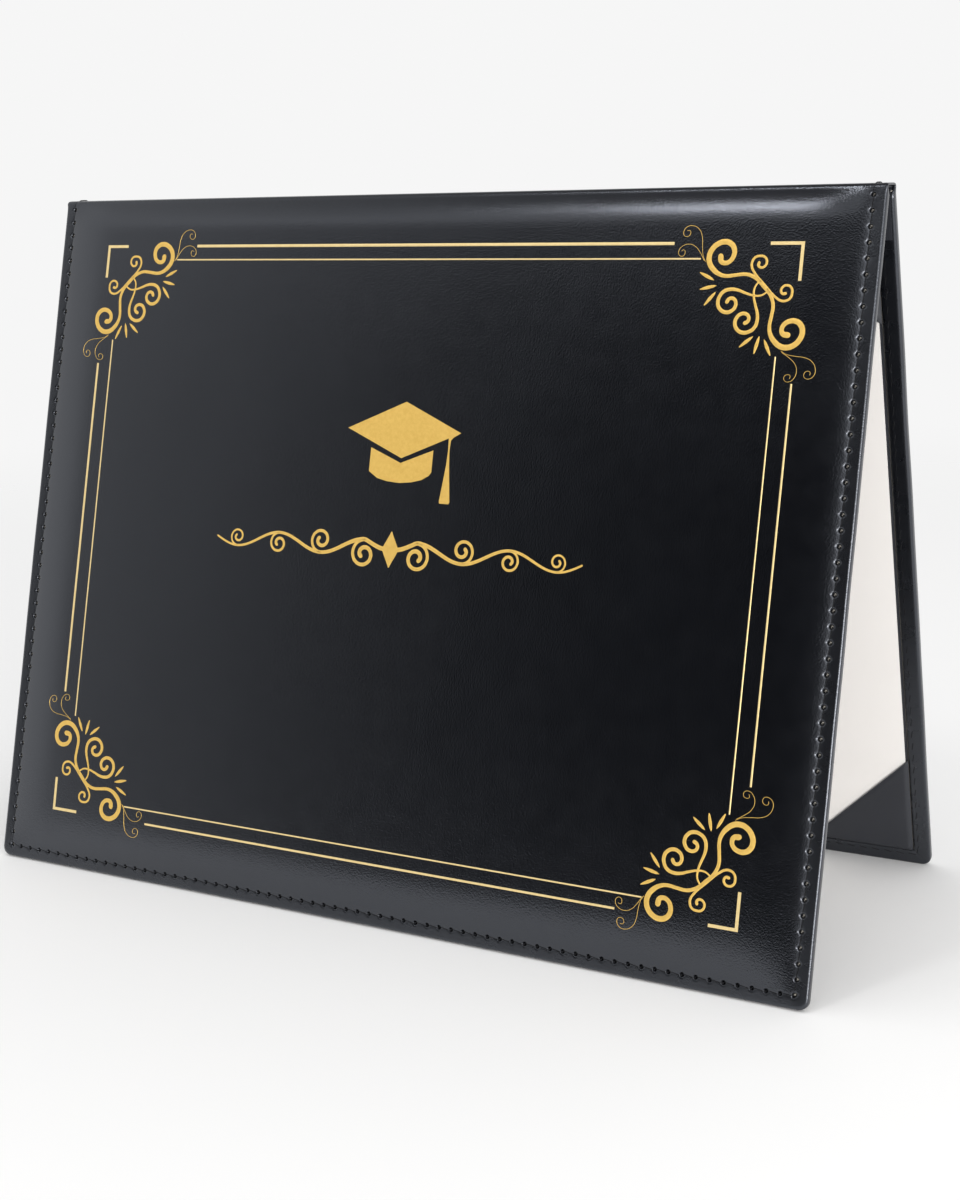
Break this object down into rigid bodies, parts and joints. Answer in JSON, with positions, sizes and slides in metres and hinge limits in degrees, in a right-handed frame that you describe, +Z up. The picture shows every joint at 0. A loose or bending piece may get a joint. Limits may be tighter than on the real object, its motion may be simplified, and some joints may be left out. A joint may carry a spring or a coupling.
{
  "type": "certificate folder",
  "caption": "Padded leatherette certificate folder standing as a tent, with a gold-stamped front cover and corner pockets inside that hold a letter-size certificate.",
  "frame": {"origin": "on the surface it stands on, midway between the two covers' bottom edges and midway across", "axes": "+X across, towards the right as seen from the front; -Y towards the stamped front cover; +Z up"},
  "size_m": [0.2922, 0.1258, 0.2221],
  "materials": {
    "leatherette": "satin",
    "lining_leatherette": "satin",
    "thread": "matte",
    "foam": "matte",
    "greyboard": "matte",
    "certificate_card": "matte",
    "gold_foil": "satin"
  },
  "bodies": {
    "front_cover": {"front_skin": "leatherette", "front_pad": "foam", "front_board": "greyboard", "front_lining": "lining_leatherette", "front_hinge_strip": "lining_leatherette", "front_needle_thread": "thread", "front_bobbin_thread": "thread", "foil_outer_line_top": "gold_foil", "foil_outer_line_bottom": "gold_foil", "foil_outer_line_left": "gold_foil", "foil_outer_line_right": "gold_foil", "foil_inner_line_top": "gold_foil", "foil_inner_line_bottom": "gold_foil", "foil_inner_line_left": "gold_foil", "foil_inner_line_right": "gold_foil", "foil_bracket_top_left": "gold_foil", "foil_bracket_top_right": "gold_foil", "foil_bracket_bottom_left": "gold_foil", "foil_bracket_bottom_right": "gold_foil", "foil_scroll_top_left": "gold_foil", "foil_scroll_top_right": "gold_foil", "foil_scroll_bottom_left": "gold_foil", "foil_scroll_bottom_right": "gold_foil", "foil_cap_board": "gold_foil", "foil_cap_crown": "gold_foil", "foil_flourish": "gold_foil"},
    "spine": {"spine_skin": "leatherette", "spine_hinge_strip": "lining_leatherette", "front_fold_skin": "leatherette", "back_fold_skin": "leatherette", "spine_thread_left": "thread", "spine_thread_right": "thread"},
    "back_cover": {"back_skin": "leatherette", "back_pad": "foam", "back_board": "greyboard", "back_lining": "lining_leatherette", "back_hinge_strip": "lining_leatherette", "back_needle_thread": "thread", "back_bobbin_thread": "thread", "certificate_sheet": "certificate_card", "pocket_top_left": "lining_leatherette", "pocket_top_right": "lining_leatherette", "pocket_bottom_left": "lining_leatherette", "pocket_bottom_right": "lining_leatherette"}
  },
  "joints": [
    {"name": "front_fold", "type": "hinge", "parent": "front_cover", "child": "spine", "pos_m": [0, -0.00284, 0.2199], "axis": [1, 0, 0], "range_deg": [-15, 75], "deforming": ["front_fold_skin"]},
    {"name": "back_fold", "type": "hinge", "parent": "spine", "child": "back_cover", "pos_m": [0, 0.00284, 0.2199], "axis": [1, 0, 0], "range_deg": [-15, 75], "deforming": ["back_fold_skin"]}
  ],
  "couplings": [
    {"joint": "back_fold", "follows": "front_fold", "ratio": 1}
  ]
}
